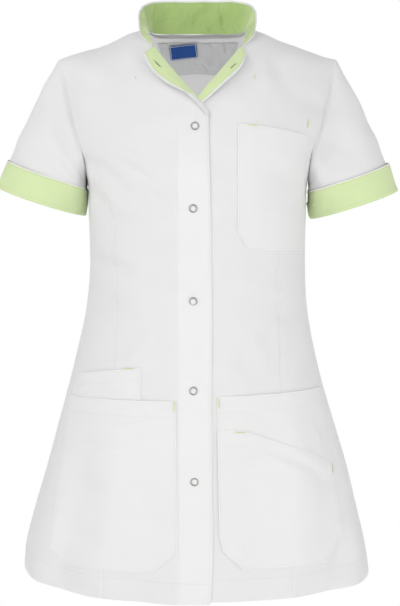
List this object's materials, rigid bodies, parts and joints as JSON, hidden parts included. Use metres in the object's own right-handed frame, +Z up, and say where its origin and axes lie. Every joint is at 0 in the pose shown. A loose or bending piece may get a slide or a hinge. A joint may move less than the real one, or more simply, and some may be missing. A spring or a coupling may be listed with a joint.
{
  "type": "medical tunic",
  "caption": "White short-sleeved medical tunic filled out as worn, with a stand collar open in a V, lime collar lining and turned-up cuffs, a snap front and patch pockets.",
  "frame": {"origin": "midway between the wearer's shoulders at the base of the neck, 9 mm below the neck end of the shoulder seams, where the wearer carries the tunic", "axes": "+Z up, -Y the way the wearer faces, +X to the wearer's left"},
  "size_m": [0.5432, 0.2454, 0.8068],
  "materials": {
    "white_cloth": "matt twill, polyester and cotton",
    "lime_cloth": "matt twill, polyester and cotton",
    "label_cloth": "woven satin, blank",
    "snap_steel": "nickel-plated, lightly polished"
  },
  "bodies": {
    "root": {"front_right": "white_cloth", "front_left": "white_cloth", "side_front_right": "white_cloth", "side_front_left": "white_cloth", "back": "white_cloth", "sleeve_right": "white_cloth", "sleeve_left": "white_cloth", "collar_outer": "white_cloth", "chest_pocket": "white_cloth", "lower_pocket_right": "white_cloth", "phone_pocket_right": "white_cloth", "lower_pocket_left": "white_cloth", "small_pocket_left": "white_cloth", "back_neck_facing": "white_cloth", "neck_tape": "white_cloth", "cuff_right": "lime_cloth", "cuff_left": "lime_cloth", "collar_inner": "lime_cloth", "lapel_facing_right": "lime_cloth", "lapel_facing_left": "lime_cloth", "label": "label_cloth", "snap_1": "snap_steel", "snap_2": "snap_steel", "snap_3": "snap_steel", "snap_4": "snap_steel", "snap_5": "snap_steel"}
  },
  "joints": []
}
